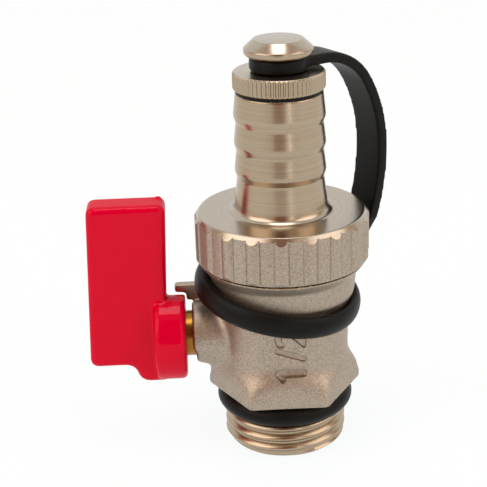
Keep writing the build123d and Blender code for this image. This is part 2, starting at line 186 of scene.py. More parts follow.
def lathe_rings(tree, ring_mm):
    """A noise that changes only across a tool's rings: with the height and the distance from the axis."""
    place = add_node(tree, "ShaderNodeTexCoord").outputs["Object"]
    apart = add_node(tree, "ShaderNodeSeparateXYZ", {"Vector": place})
    flat = add_node(tree, "ShaderNodeCombineXYZ", {"X": apart.outputs["X"], "Y": apart.outputs["Y"]})
    reach = add_node(tree, "ShaderNodeVectorMath", {0: flat.outputs["Vector"]}, operation="LENGTH")
    rings = add_node(tree, "ShaderNodeCombineXYZ", {"X": reach.outputs["Value"], "Y": apart.outputs["Z"]})
    return add_node(tree, "ShaderNodeTexNoise", {
        "Vector": rings.outputs["Vector"], "Scale": 1 / (ring_mm * MM), "Detail": 2.0,
    }, noise_dimensions="2D")


def turned_nickel(name, dark, light):
    material, tree, output = new_finish(name)
    rings = lathe_rings(tree, TOOL_RING_MM)
    tone = add_node(tree, "ShaderNodeValToRGB", {"Fac": rings.outputs["Fac"]})
    tone.color_ramp.elements[0].position = DARK_RING_LEVEL
    tone.color_ramp.elements[0].color = linear(dark)
    tone.color_ramp.elements[1].position = LIGHT_RING_LEVEL
    tone.color_ramp.elements[1].color = linear(light)
    bump = add_node(tree, "ShaderNodeBump", {
        "Height": rings.outputs["Fac"], "Strength": 0.12, "Distance": TOOL_RING_DEPTH_MM * MM,
    })
    shader = add_node(tree, "ShaderNodeBsdfPrincipled", {
        "Base Color": tone.outputs["Color"], "Metallic": 1.0, "Roughness": 0.25,
        "Normal": bump.outputs["Normal"],
    })
    tree.links.new(shader.outputs["BSDF"], output.inputs["Surface"])
    return material


TURNED_NICKEL = turned_nickel("nickel plate on turned brass", "AB9982", "B4A38D")
# A lighter, greyer copy for the faces that look up: painted light.
UPWARD_LIT_NICKEL = turned_nickel("nickel plate on faced brass", "B1A596", "BAAE9F")
print("made", TURNED_NICKEL.name, "and", UPWARD_LIT_NICKEL.name)

# %% [markdown]
# ## Bare brass, chrome, steel and seat plastic
# The stem is turned brass with no plate, so it shows gold in the gap behind the hub, and its colours
# are painted darker for the shade in that gap. The ball is polished and chromed, the grub screw is
# plain steel and the seats are white slippery plastic. They are mostly hidden, and each still gets
# its own tool rings or mottling.

# %% Bare brass and the hidden metals
SEAT_CLOUD_MM = 2.0


def turned_metal(name, dark, light, roughness, ring_mm):
    material, tree, output = new_finish(name)
    rings = lathe_rings(tree, ring_mm)
    tone = add_node(tree, "ShaderNodeMix", {
        "Factor": rings.outputs["Fac"], "A": linear(dark), "B": linear(light),
    }, data_type="RGBA")
    shader = add_node(tree, "ShaderNodeBsdfPrincipled", {
        "Base Color": tone.outputs["Result"], "Metallic": 1.0, "Roughness": roughness,
    })
    tree.links.new(shader.outputs["BSDF"], output.inputs["Surface"])
    return material


def seat_plastic():
    material, tree, output = new_finish("white PTFE, skived")
    place = add_node(tree, "ShaderNodeTexCoord").outputs["Object"]
    cloud = add_node(tree, "ShaderNodeTexNoise", {"Vector": place, "Scale": 1 / (SEAT_CLOUD_MM * MM)})
    tone = add_node(tree, "ShaderNodeMix", {
        "Factor": cloud.outputs["Fac"], "A": linear("E6E5E0"), "B": linear("F4F3EF"),
    }, data_type="RGBA")
    shader = add_node(tree, "ShaderNodeBsdfPrincipled", {
        "Base Color": tone.outputs["Result"], "Roughness": 0.45, "IOR": 1.38,
    })
    tree.links.new(shader.outputs["BSDF"], output.inputs["Surface"])
    return material


# Painted shade: the brass colours are darkened for the shadow in the gap behind the hub.
SHADE_DARKENED_BRASS = turned_metal("bare turned brass, painted darker for shade", "7A5420", "B08038", roughness=0.3, ring_mm=0.2)
CHROMED_BALL = turned_metal("polished chrome on brass", "C4C6C8", "D8DADC", roughness=0.06, ring_mm=0.5)
PLAIN_STEEL = turned_metal("plain steel", "6E6F72", "9A9B9E", roughness=0.35, ring_mm=0.25)
SEAT_PLASTIC = seat_plastic()
print("made", SHADE_DARKENED_BRASS.name, "and", SEAT_PLASTIC.name)

# %% [markdown]
# ## Red lever coat
# The lever is a casting dipped in a thick glossy red plastic coat. It rounds every edge, lies a
# little uneven and shows sharp reflections over an even colour, so the red base is dull and a clear
# coat does the shining.

# %% Red coat
COAT_WAVE_MM = 4.0
COAT_WAVE_DEPTH_MM = 0.1


def red_coat():
    material, tree, output = new_finish("glossy red dipped coat")
    place = add_node(tree, "ShaderNodeTexCoord").outputs["Object"]
    wave = add_node(tree, "ShaderNodeTexNoise", {
        "Vector": place, "Scale": 1 / (COAT_WAVE_MM * MM), "Detail": 1.0,
    })
    tone = add_node(tree, "ShaderNodeMix", {
        "Factor": wave.outputs["Fac"], "A": linear("C8002A"), "B": linear("D1002E"),
    }, data_type="RGBA")
    bump = add_node(tree, "ShaderNodeBump", {
        "Height": wave.outputs["Fac"], "Strength": 0.12, "Distance": COAT_WAVE_DEPTH_MM * MM,
    })
    shader = add_node(tree, "ShaderNodeBsdfPrincipled", {
        "Base Color": tone.outputs["Result"], "Roughness": 0.5, "Specular IOR Level": 0.0,
        "Coat Weight": 0.4, "Coat Roughness": 0.03, "Coat IOR": 1.38,
        "Normal": bump.outputs["Normal"], "Coat Normal": bump.outputs["Normal"],
    })
    tree.links.new(shader.outputs["BSDF"], output.inputs["Surface"])
    return material


RED_COAT = red_coat()
print("made", RED_COAT.name)

# %% [markdown]
# ## Black moulded rubber
# The tether, the sealing rings and the gaskets are black rubber with a satin skin. Dust clings to it
# in pale specks a fifth of a millimetre across, one or two millimetres apart, and it shows only close
# up.

# %% Rubber
SKIN_GRAIN_MM = 0.6
SKIN_DEPTH_MM = 0.05
SPECK_SPACING_MM = 1.6
SPECK_RADIUS_MM = 0.11


def moulded_rubber():
    material, tree, output = new_finish("black moulded rubber with dust")
    place = add_node(tree, "ShaderNodeTexCoord").outputs["Object"]
    skin = add_node(tree, "ShaderNodeTexNoise", {
        "Vector": place, "Scale": 1 / (SKIN_GRAIN_MM * MM), "Detail": 3.0,
    })
    specks = add_node(tree, "ShaderNodeTexVoronoi", {"Vector": place, "Scale": 1 / (SPECK_SPACING_MM * MM)})
    near = add_node(tree, "ShaderNodeMath", {
        0: specks.outputs["Distance"], 1: SPECK_RADIUS_MM / SPECK_SPACING_MM,
    }, operation="LESS_THAN")
    tone = add_node(tree, "ShaderNodeMix", {
        "Factor": skin.outputs["Fac"], "A": linear("0A0A09"), "B": linear("10100E"),
    }, data_type="RGBA")
    dusty = add_node(tree, "ShaderNodeMix", {
        "Factor": near.outputs["Value"], "A": tone.outputs["Result"], "B": linear("34342F"),
    }, data_type="RGBA")
    bump = add_node(tree, "ShaderNodeBump", {
        "Height": skin.outputs["Fac"], "Strength": 0.15, "Distance": SKIN_DEPTH_MM * MM,
    })
    shader = add_node(tree, "ShaderNodeBsdfPrincipled", {
        "Base Color": dusty.outputs["Result"], "Roughness": 0.42, "Specular IOR Level": 0.15,
        "Normal": bump.outputs["Normal"],
    })
    tree.links.new(shader.outputs["BSDF"], output.inputs["Surface"])
    return material


MOULDED_RUBBER = moulded_rubber()
print("made", MOULDED_RUBBER.name)

# %% [markdown]
# ## Modelling helpers
# A copy of a node's mesh is the start of each piece that was forged, dipped or moulded. Its seams are
# merged, a voxel remesh gives it one even skin, and smoothing rounds the edges as the die or the coat
# would. Pieces that were turned start from an outline instead, drawn vertex by vertex and taken round
# the flow axis by the Screw modifier.

# %% Modelling helpers
MERGE_MM = 0.001
SMOOTHING = 0.5
NEAR_AXIS_MM = 0.1
CORNER_SEGMENTS = 3
TURNED_SMOOTH_ANGLE = math.radians(35)


def deselect_all():
    bpy.ops.object.select_all(action="DESELECT")


def make_active(piece):
    deselect_all()
    piece.select_set(True)
    bpy.context.view_layer.objects.active = piece


def merged_copy(node, name):
    """A new object with a copy of a node's mesh, its loose triangles merged into one skin."""
    piece = bpy.data.objects.new(name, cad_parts[node].data.copy())
    bpy.context.collection.objects.link(piece)
    make_active(piece)
    bpy.ops.object.mode_set(mode="EDIT")
    bpy.ops.mesh.select_all(action="SELECT")
    bpy.ops.mesh.remove_doubles(threshold=MERGE_MM * MM)
    bpy.ops.object.mode_set(mode="OBJECT")
    piece.data.materials.clear()
    return piece


def apply_modifier(piece, kind, **settings):
    modifier = piece.modifiers.new(kind.lower(), kind)
    for name, value in settings.items():
        setattr(modifier, name, value)
    make_active(piece)
    bpy.ops.object.modifier_apply(modifier=modifier.name)


def soften(piece, voxel_mm, rounds):
    """One even skin over the whole piece, with its edges rounded."""
    apply_modifier(piece, "REMESH", mode="VOXEL", voxel_size=voxel_mm * MM, use_smooth_shade=True)
    apply_modifier(piece, "SMOOTH", factor=SMOOTHING, iterations=rounds)


def draw_outline(name, points, closed):
    """A chain of vertices in the XZ plane through (radius, height) points in millimetres."""
    deselect_all()
    bpy.ops.mesh.primitive_plane_add(size=MM)
    piece = bpy.context.object
    piece.name = name
    bpy.ops.object.mode_set(mode="EDIT")
    bpy.ops.mesh.merge(type="CENTER")
    here = Vector((0, 0, 0))
    for number, (radius, height) in enumerate(points):
        step = Vector((radius, 0, height)) * MM - here
        if number == 0:
            bpy.ops.transform.translate(value=step)
        else:
            bpy.ops.mesh.extrude_region_move(TRANSFORM_OT_translate={"value": step})
        here += step
    if closed:
        bpy.ops.object.mode_set(mode="OBJECT")
        piece.data.vertices[0].select = True
        bpy.ops.object.mode_set(mode="EDIT")
        bpy.ops.mesh.edge_face_add()
    bpy.ops.object.mode_set(mode="OBJECT")
    return piece


def round_corners(piece, radius_mm):
    """Bevels the outline's corners, leaving out those on the axis."""
    bpy.ops.object.mode_set(mode="EDIT")
    bpy.ops.mesh.select_all(action="DESELECT")
    bpy.ops.object.mode_set(mode="OBJECT")
    for vertex in piece.data.vertices:
        vertex.select = vertex.co.x > NEAR_AXIS_MM * MM
    bpy.ops.object.mode_set(mode="EDIT")
    bpy.ops.mesh.bevel(offset=radius_mm * MM, segments=CORNER_SEGMENTS, affect="VERTICES")
    bpy.ops.object.mode_set(mode="OBJECT")


def spin_outline(piece, steps):
    """Turns the outline once round the flow axis and closes the seam."""
    apply_modifier(
        piece, "SCREW", axis="Z", steps=steps, render_steps=steps,
        use_merge_vertices=True, merge_threshold=MERGE_MM * MM,
    )
    bpy.ops.object.mode_set(mode="EDIT")
    bpy.ops.mesh.select_all(action="SELECT")
    bpy.ops.mesh.remove_doubles(threshold=MERGE_MM * MM)
    bpy.ops.mesh.normals_make_consistent(inside=False)
    bpy.ops.object.mode_set(mode="OBJECT")
    bpy.ops.object.shade_smooth_by_angle(angle=TURNED_SMOOTH_ANGLE)


def set_radius(vertex, radius):
    """Moves a vertex straight towards or away from the flow axis."""
    share = radius / math.hypot(vertex.co.x, vertex.co.y)
    vertex.co.x *= share
    vertex.co.y *= share


print("modelling helpers ready")

# %% [markdown]
# ## The forged body
# The body is one forging: hexagon, ball chamber, stem boss, stop lug and neck. Its edges came out of
# the die soft, so a remeshed copy is better here than crisp machined edges. The plain inlet cylinder
# is drawn in to the thread's root first, and the thread itself follows as a ridge. The inlet end and
# the lip under the collar were turned after forging, so they get the turned finish. The slope above
# the hexagon is smoothed further, because the die runs it into the chamber with hardly an edge.

# %% Forged body
BODY_VOXEL_MM = 0.28
BODY_ROUNDS = 7
THREAD_LENGTH_MM = 6.0
THREAD_CREST_MM = 10.4775
THREAD_ROOT_MM = 9.8
THREAD_PITCH_MM = 1.814
THREAD_CHAMFER_MM = 0.9
THREAD_MARGIN_MM = 0.05
LIP_BOTTOM_MM = 32.95
SLOPE_BOTTOM_MM = 11.3
SLOPE_TOP_MM = 19.0
SLOPE_FADE_MM = 1.5
SLOPE_INNER_MM = 9.6
SLOPE_ROUNDS = 200


def trim_to_chamfer(piece, largest_mm):
    """Draws the thread's zone of a piece in to a radius, and to the chamfer at the open end."""
    for vertex in piece.data.vertices:
        chamfer_mm = THREAD_CREST_MM - THREAD_CHAMFER_MM + vertex.co.z / MM
        limit = min(largest_mm, chamfer_mm) * MM
        in_zone = vertex.co.z < (THREAD_LENGTH_MM + THREAD_MARGIN_MM) * MM
        if in_zone and math.hypot(vertex.co.x, vertex.co.y) > limit:
            set_radius(vertex, limit)


body = merged_copy("valve_body", "forged_body")
soften(body, BODY_VOXEL_MM, BODY_ROUNDS)
slope = body.vertex_groups.new(name="forged slope")
for vertex in body.data.vertices:
    height = vertex.co.z / MM
    inside = min(height - SLOPE_BOTTOM_MM, SLOPE_TOP_MM - height)
    if inside > 0 and math.hypot(vertex.co.x, vertex.co.y) > SLOPE_INNER_MM * MM:
        slope.add([vertex.index], min(1, inside / SLOPE_FADE_MM), "REPLACE")
apply_modifier(body, "SMOOTH", factor=SMOOTHING, iterations=SLOPE_ROUNDS, vertex_group=slope.name)
trim_to_chamfer(body, THREAD_ROOT_MM)
body.data.materials.append(FORGED_NICKEL)
body.data.materials.append(TURNED_NICKEL)
for face in body.data.polygons:
    if face.center.z < THREAD_LENGTH_MM * MM or face.center.z > LIP_BOTTOM_MM * MM:
        face.material_index = 1
print("forged body has", len(body.data.polygons), "faces")

# %% [markdown]
# ## The inlet thread
# A half-inch pipe thread has 14 turns to the inch and rounded crests. One tooth's outline goes round
# the axis with the Screw modifier, climbing a pitch for each turn. It starts and ends outside the
# thread's length, and two bisects trim it flush, as the lathe leaves it; the first turn is chamfered.
# The whole ridge is then turned a quarter round, so that its ends lie at the back.

# %% Inlet thread
THREAD_SUNK_MM = 0.4
CREST_ROUND_MM = 0.12
CREST_SHARE = 0.1
SHOULDER_SHARE = 0.3
ROOT_SHARE = 0.85
THREAD_TURNS = 7
THREAD_RUN_IN_TURNS = 2
THREAD_STEPS = 96
THREAD_TRIM_MM = 0.02
BODY_SMOOTH_ANGLE = math.radians(50)

half = THREAD_PITCH_MM / 2
thread = draw_outline("inlet_thread", [
    (THREAD_ROOT_MM - THREAD_SUNK_MM, -half),
    (THREAD_ROOT_MM, -ROOT_SHARE * half),
    (THREAD_CREST_MM - CREST_ROUND_MM, -SHOULDER_SHARE * half),
    (THREAD_CREST_MM, -CREST_SHARE * half),
    (THREAD_CREST_MM, CREST_SHARE * half),
    (THREAD_CREST_MM - CREST_ROUND_MM, SHOULDER_SHARE * half),
    (THREAD_ROOT_MM, ROOT_SHARE * half),
    (THREAD_ROOT_MM - THREAD_SUNK_MM, half),
], closed=True)
for vertex in thread.data.vertices:
    vertex.co.z -= THREAD_RUN_IN_TURNS * THREAD_PITCH_MM * MM
apply_modifier(
    thread, "SCREW", axis="Z", screw_offset=THREAD_PITCH_MM * MM, iterations=THREAD_TURNS,
    steps=THREAD_STEPS, render_steps=THREAD_STEPS, use_merge_vertices=True, merge_threshold=MERGE_MM * MM,
)
bpy.ops.object.mode_set(mode="EDIT")
bpy.ops.mesh.select_all(action="SELECT")
bpy.ops.mesh.bisect(plane_co=(0, 0, THREAD_TRIM_MM * MM), plane_no=(0, 0, -1), clear_outer=True)
bpy.ops.mesh.select_all(action="SELECT")
bpy.ops.mesh.bisect(
    plane_co=(0, 0, (THREAD_LENGTH_MM - THREAD_TRIM_MM) * MM), plane_no=(0, 0, 1), clear_outer=True,
)
bpy.ops.mesh.select_all(action="SELECT")
bpy.ops.mesh.normals_make_consistent(inside=False)
bpy.ops.transform.rotate(value=math.radians(90), orient_axis="Z", center_override=(0, 0, 0))
bpy.ops.object.mode_set(mode="OBJECT")
trim_to_chamfer(thread, THREAD_CREST_MM)
bpy.ops.object.shade_smooth_by_angle(angle=BODY_SMOOTH_ANGLE)
thread.data.materials.append(TURNED_NICKEL)
print("thread has", len(thread.data.polygons), "faces")

# %% [markdown]
# ## The size mark
# The front flat carries the pipe size, sunk into the forging and read from below upwards. A text
# object gives the figures. It is thickened, made a mesh and turned so that it reads up the flat. The
# typeface draws the 1 as a plain stroke, so a small slanted bar gives it its flag. All is swelled a
# little, so that its strokes are as bold and round as a die's, and cut out of the body with a
# Boolean. The thread is joined on afterwards, because it is the same piece of metal.

# %% Size mark
MARK_TYPE_MM = 10
FRONT_FLAT_MM = -10.2
MARK_LEFT_MM = -1.9
MARK_RIGHT_MM = 2.85
MARK_BOTTOM_MM = 15.8
MARK_TOP_MM = 24.5
MARK_DEPTH_MM = 0.15
MARK_BOLD_MM = 0.3
MARK_GRAIN_MM = 0.12
MARK_REACH_MM = 1.5
FLAG_WIDTH_MM = 0.5
FLAG_LENGTH_MM = 1.1
FLAG_INSET_MM = 1.5 * FLAG_WIDTH_MM
FLAG_HANG_MM = 0.3 * FLAG_LENGTH_MM
FLAG_SLANT = math.radians(-35)

deselect_all()
bpy.ops.object.text_add()
mark = bpy.context.object
mark.data.body = "1/2"
mark.data.size = MARK_TYPE_MM * MM
mark.data.extrude = MARK_DEPTH_MM * MM
bpy.ops.object.convert(target="MESH")
reading = [v.co.x for v in mark.data.vertices]
rising = [v.co.y for v in mark.data.vertices]
for vertex in mark.data.vertices:
    along = (vertex.co.x - min(reading)) / (max(reading) - min(reading))
    across = (vertex.co.y - min(rising)) / (max(rising) - min(rising))
    vertex.co = Vector((
        (MARK_RIGHT_MM + across * (MARK_LEFT_MM - MARK_RIGHT_MM)) * MM,
        FRONT_FLAT_MM * MM - vertex.co.z - (MARK_REACH_MM * MM if vertex.co.z > 0 else 0),
        (MARK_BOTTOM_MM + along * (MARK_TOP_MM - MARK_BOTTOM_MM)) * MM,
    ))
bpy.ops.object.mode_set(mode="EDIT")
bpy.ops.mesh.select_all(action="SELECT")
bpy.ops.mesh.remove_doubles(threshold=MERGE_MM * MM)
bpy.ops.mesh.normals_make_consistent(inside=False)
bpy.ops.object.mode_set(mode="OBJECT")
mark.data.materials.clear()
flag_depth_mm = 2 * MARK_DEPTH_MM + MARK_REACH_MM
deselect_all()
bpy.ops.mesh.primitive_cube_add(size=MM, location=Vector((
    MARK_LEFT_MM + FLAG_INSET_MM, FRONT_FLAT_MM + MARK_DEPTH_MM - flag_depth_mm / 2,
    MARK_BOTTOM_MM - FLAG_HANG_MM,
)) * MM, rotation=(0, FLAG_SLANT, 0), scale=(FLAG_WIDTH_MM, flag_depth_mm, FLAG_LENGTH_MM))
bpy.ops.object.transform_apply()
mark.select_set(True)
bpy.context.view_layer.objects.active = mark
bpy.ops.object.join()
apply_modifier(mark, "REMESH", mode="VOXEL", voxel_size=MARK_GRAIN_MM * MM)
apply_modifier(mark, "DISPLACE", strength=MARK_BOLD_MM * MM, mid_level=0.0)
apply_modifier(mark, "REMESH", mode="VOXEL", voxel_size=MARK_GRAIN_MM * MM)
apply_modifier(body, "BOOLEAN", object=mark, operation="DIFFERENCE", solver="MANIFOLD")
bpy.data.objects.remove(mark)
make_active(body)
bpy.ops.object.shade_smooth_by_angle(angle=BODY_SMOOTH_ANGLE)
thread.select_set(True)
bpy.ops.object.join()
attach(body, "body")
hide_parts("valve_body")
print("body with thread and mark has", len(body.data.polygons), "faces")

# %% [markdown]
# ## The hose union
# The ribbed collar and the hose barb are one piece. Its half-section is drawn as a chain of points,
# with small rounds at the corners, and spun. The ribs are then left standing: between them the
# collar's side moves in to the round of the rib or to the plain circle at its root, whichever is
# further out, with a thin crease along the rib's root. On the turned slopes of the foot and the rim
# nothing moves that already lies lower.

# %% Hose union
COLLAR_RADIUS_MM = 14.75
COLLAR_BOTTOM_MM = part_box("hose_union")[0].z / MM
COLLAR_HEIGHT_MM = 8.33
COLLAR_TOP_MM = COLLAR_BOTTOM_MM + COLLAR_HEIGHT_MM
BARB_TOP_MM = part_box("hose_union")[1].z / MM
RIM_RADIUS_MM = 13.89
RIM_HEIGHT_MM = 1.25
FOOT_RADIUS_MM = 14.3
FOOT_HEIGHT_MM = 0.7
SPIGOT_BORE_MM = 11.55
SPIGOT_DEPTH_MM = 6.45
WASHER_TOP_MM = COLLAR_BOTTOM_MM + SPIGOT_DEPTH_MM
WATERWAY_RADIUS_MM = 4.6
PLUG_BORE_RADIUS_MM = 5.0
PLUG_BORE_DEPTH_MM = 9.0
BARB_ROOT_MM = 7.2
BARB_CREST_MM = 7.55
BARB_BASE_MM = 7.75
BARB_BASE_ROUND_MM = 1.3
BARB_BASE_STEPS = 4
BARB_FIRST_CREST_MM = 3.4
BARB_PITCH_MM = 4.6
BARB_RISE_MM = 1.6
BARB_LAND_MM = 0.5
BARB_CRESTS_MM = [BARB_TOP_MM - BARB_FIRST_CREST_MM - tooth * BARB_PITCH_MM for tooth in (2, 1, 0)]
RIB_COUNT = 19
RIB_HEIGHT_MM = 0.4
RIB_ROUND_MM = 1.8
RIB_FIRST_ANGLE = math.radians(-94.05)
CREASE_ANGLE = math.radians(4.75)
CREASE_DEPTH_MM = 0.1
STEPS_PER_RIB = 24
SLOPE_CUTS = 10
CORNER_ROUND_MM = 0.12
EDGE_MARGIN_MM = 0.2
SIDE_MARGIN_MM = 0.3
SIDE_NORMAL = 0.3
FACED_NORMAL = 0.5
RIB_SMOOTH_ANGLE = math.radians(25)

outline = [
    (SPIGOT_BORE_MM, COLLAR_BOTTOM_MM),
    (FOOT_RADIUS_MM, COLLAR_BOTTOM_MM),
    (COLLAR_RADIUS_MM, COLLAR_BOTTOM_MM + FOOT_HEIGHT_MM),
    (COLLAR_RADIUS_MM, COLLAR_TOP_MM - RIM_HEIGHT_MM),
    (RIM_RADIUS_MM, COLLAR_TOP_MM),
]
for step in range(BARB_BASE_STEPS + 1):
    swing = math.radians(90 * step / BARB_BASE_STEPS)
    outline.append((
        BARB_BASE_MM + BARB_BASE_ROUND_MM * (1 - math.sin(swing)),
        COLLAR_TOP_MM + BARB_BASE_ROUND_MM * (1 - math.cos(swing)),
    ))
for crest in BARB_CRESTS_MM:
    outline += [
        (BARB_ROOT_MM, crest - BARB_RISE_MM),
        (BARB_CREST_MM, crest - BARB_LAND_MM),
        (BARB_CREST_MM, crest),
    ]
outline += [
    (BARB_ROOT_MM, BARB_TOP_MM),
    (PLUG_BORE_RADIUS_MM, BARB_TOP_MM),
    (PLUG_BORE_RADIUS_MM, BARB_TOP_MM - PLUG_BORE_DEPTH_MM),
    (WATERWAY_RADIUS_MM, BARB_TOP_MM - PLUG_BORE_DEPTH_MM),
    (WATERWAY_RADIUS_MM, WASHER_TOP_MM),
    (SPIGOT_BORE_MM, WASHER_TOP_MM),
]
union = draw_outline("hose_union_turned", outline, closed=True)
round_corners(union, CORNER_ROUND_MM)
for edge in union.data.edges:
    ends = [union.data.vertices[i].co / MM for i in edge.vertices]
    on_rim = all(
        end.z > COLLAR_TOP_MM - RIM_HEIGHT_MM - EDGE_MARGIN_MM and end.x > RIM_RADIUS_MM - EDGE_MARGIN_MM
        for end in ends
    )
    on_foot = all(
        end.z < COLLAR_BOTTOM_MM + FOOT_HEIGHT_MM + EDGE_MARGIN_MM and end.x > FOOT_RADIUS_MM - EDGE_MARGIN_MM
        for end in ends
    )
    edge.select = on_rim or on_foot
bpy.ops.object.mode_set(mode="EDIT")
bpy.ops.mesh.select_mode(type="EDGE")
bpy.ops.mesh.subdivide(number_cuts=SLOPE_CUTS)
bpy.ops.mesh.select_mode(type="VERT")
bpy.ops.object.mode_set(mode="OBJECT")
spin_outline(union, STEPS_PER_RIB * RIB_COUNT)


def ribbed_radius(angle):
    """The collar's radius in millimetres at an angle round the flow axis."""
    pitch = 2 * math.pi / RIB_COUNT
    apart = (angle - RIB_FIRST_ANGLE + pitch / 2) % pitch - pitch / 2
    rib_centre = COLLAR_RADIUS_MM - RIB_ROUND_MM
    inside = RIB_ROUND_MM ** 2 - (rib_centre * math.sin(apart)) ** 2
    rib = rib_centre * math.cos(apart) + math.sqrt(inside) if inside > 0 else 0
    crease = CREASE_DEPTH_MM if abs(abs(apart) - CREASE_ANGLE) < pitch / (2 * STEPS_PER_RIB) else 0
    return max(rib, COLLAR_RADIUS_MM - RIB_HEIGHT_MM) - crease


for vertex in union.data.vertices:
    radius = math.hypot(vertex.co.x, vertex.co.y) / MM
    height = vertex.co.z / MM
    if height > COLLAR_TOP_MM or radius < FOOT_RADIUS_MM - SIDE_MARGIN_MM:
        continue
    ribbed = ribbed_radius(math.atan2(vertex.co.y, vertex.co.x))
    set_radius(vertex, min(radius, ribbed) * MM)
bpy.ops.object.shade_smooth_by_angle(angle=RIB_SMOOTH_ANGLE)
union.data.materials.append(TURNED_NICKEL)
union.data.materials.append(FORGED_NICKEL)
union.data.materials.append(UPWARD_LIT_NICKEL)
for face in union.data.polygons:
    outside = math.hypot(face.center.x, face.center.y) > (FOOT_RADIUS_MM - SIDE_MARGIN_MM) * MM
    if outside and face.normal.z < SIDE_NORMAL:
        face.material_index = 1
    # Faces that look up take the copy painted lighter: painted light.
    elif face.normal.z > FACED_NORMAL:
        face.material_index = 2
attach(union, "body")
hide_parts("hose_union")
print("hose union has", len(union.data.polygons), "faces")

# %% [markdown]
# ## The captive plug
# The plug screws into the barb's mouth: a shank, a knurled disc to grip, a thin neck for the tether's
# eyelet and a head with a sloped rim. It is turned too, so it is drawn and spun, and the knurl is
# pressed in afterwards as a wave that runs round the disc's rim.

# %% Captive plug
PLUG_BOTTOM_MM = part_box("plug")[0].z / MM
PLUG_TOP_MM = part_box("plug")[1].z / MM
DISC_RADIUS_MM = 7.57
SHANK_RADIUS_MM = 4.9
SHANK_LENGTH_MM = 8.0
DISC_HEIGHT_MM = 2.97
DISC_BOTTOM_MM = PLUG_BOTTOM_MM + SHANK_LENGTH_MM
DISC_TOP_MM = DISC_BOTTOM_MM + DISC_HEIGHT_MM
DISC_CHAMFER_MM = 0.3
NECK_RADIUS_MM = 2.6
NECK_HEIGHT_MM = 2.53
HEAD_BOTTOM_MM = DISC_TOP_MM + NECK_HEIGHT_MM
HEAD_RADIUS_MM = 5.65
HEAD_TOP_RADIUS_MM = 4.06
HEAD_CHAMFER_MM = 0.4
HEAD_BAND_TOP_MM = 1.2
KNURL_COUNT = 60
KNURL_DEPTH_MM = 0.3
STEPS_PER_KNURL = 8

plug = draw_outline("captive_plug", [
    (0, PLUG_BOTTOM_MM),
    (SHANK_RADIUS_MM, PLUG_BOTTOM_MM),
    (SHANK_RADIUS_MM, DISC_BOTTOM_MM),
    (DISC_RADIUS_MM - DISC_CHAMFER_MM, DISC_BOTTOM_MM),
    (DISC_RADIUS_MM, DISC_BOTTOM_MM + DISC_CHAMFER_MM),
    (DISC_RADIUS_MM, DISC_TOP_MM - DISC_CHAMFER_MM),
    (DISC_RADIUS_MM - DISC_CHAMFER_MM, DISC_TOP_MM),
    (NECK_RADIUS_MM, DISC_TOP_MM),
    (NECK_RADIUS_MM, HEAD_BOTTOM_MM),
    (HEAD_RADIUS_MM - HEAD_CHAMFER_MM, HEAD_BOTTOM_MM),
    (HEAD_RADIUS_MM, HEAD_BOTTOM_MM + HEAD_CHAMFER_MM),
    (HEAD_RADIUS_MM, HEAD_BOTTOM_MM + HEAD_BAND_TOP_MM),
    (HEAD_TOP_RADIUS_MM, PLUG_TOP_MM),
    (0, PLUG_TOP_MM),
], closed=False)
round_corners(plug, CORNER_ROUND_MM)
spin_outline(plug, STEPS_PER_KNURL * KNURL_COUNT)
for vertex in plug.data.vertices:
    radius = math.hypot(vertex.co.x, vertex.co.y) / MM
    at_disc = DISC_BOTTOM_MM < vertex.co.z / MM < DISC_TOP_MM
    if at_disc and radius > DISC_RADIUS_MM - DISC_CHAMFER_MM:
        wave = 0.5 - 0.5 * math.cos(KNURL_COUNT * math.atan2(vertex.co.y, vertex.co.x))
        set_radius(vertex, min(radius, DISC_RADIUS_MM - KNURL_DEPTH_MM * wave) * MM)
plug.data.materials.append(TURNED_NICKEL)
plug.data.materials.append(UPWARD_LIT_NICKEL)
for face in plug.data.polygons:
    # Faces that look up take the copy painted lighter: painted light.
    if face.normal.z > FACED_NORMAL:
        face.material_index = 1
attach(plug, "plug")
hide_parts("plug")
print("plug has", len(plug.data.polygons), "faces")

# %% [markdown]
# ## The lever
# The lever is a casting under a thick dipped coat. The coat rounds the edges and fills the inner
# corners, which a remeshed and smoothed copy shows well. Where the coat dripped off last it left a
# small nib on the blade's upper inner corner: a small sphere, sunk into the corner before the remesh
# fuses it.

# %% Lever
NIB_PLACE_MM = Vector((-20.5, 1.5, 43.75))
NIB_RADIUS_MM = 0.65
LEVER_VOXEL_MM = 0.22
LEVER_ROUNDS = 14

lever = merged_copy("handle", "coated_lever")
deselect_all()
bpy.ops.mesh.primitive_uv_sphere_add(radius=NIB_RADIUS_MM * MM, location=NIB_PLACE_MM * MM)
nib = bpy.context.object
bpy.ops.object.transform_apply()
deselect_all()
nib.select_set(True)
lever.select_set(True)
bpy.context.view_layer.objects.active = lever
bpy.ops.object.join()
soften(lever, LEVER_VOXEL_MM, LEVER_ROUNDS)
lever.data.materials.clear()
lever.data.materials.append(RED_COAT)
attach(lever, "lever")
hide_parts("handle")
print("lever has", len(lever.data.polygons), "faces")

# %% [markdown]
# ## The tether
# Ring, strap and eyelet are one rubber moulding that keeps the plug with the valve. A remeshed copy
# melts the three into each other as a mould does. The ring's two sides are made a little thicker
# inwards than the solid's, because the photograph shows no light between the ring and the neck.

# %% Tether
RING_TOP_MM = 33.0
RING_RADIUS_MM = 13.385
RING_CENTRE_MM = Vector((-0.885, 0.2, 0.0))
RING_SWELL_MM = 0.65
RING_SIDE_MM = 9.0
RING_SIDE_FADE_MM = 3.0
TETHER_VOXEL_MM = 0.24
TETHER_ROUNDS = 8

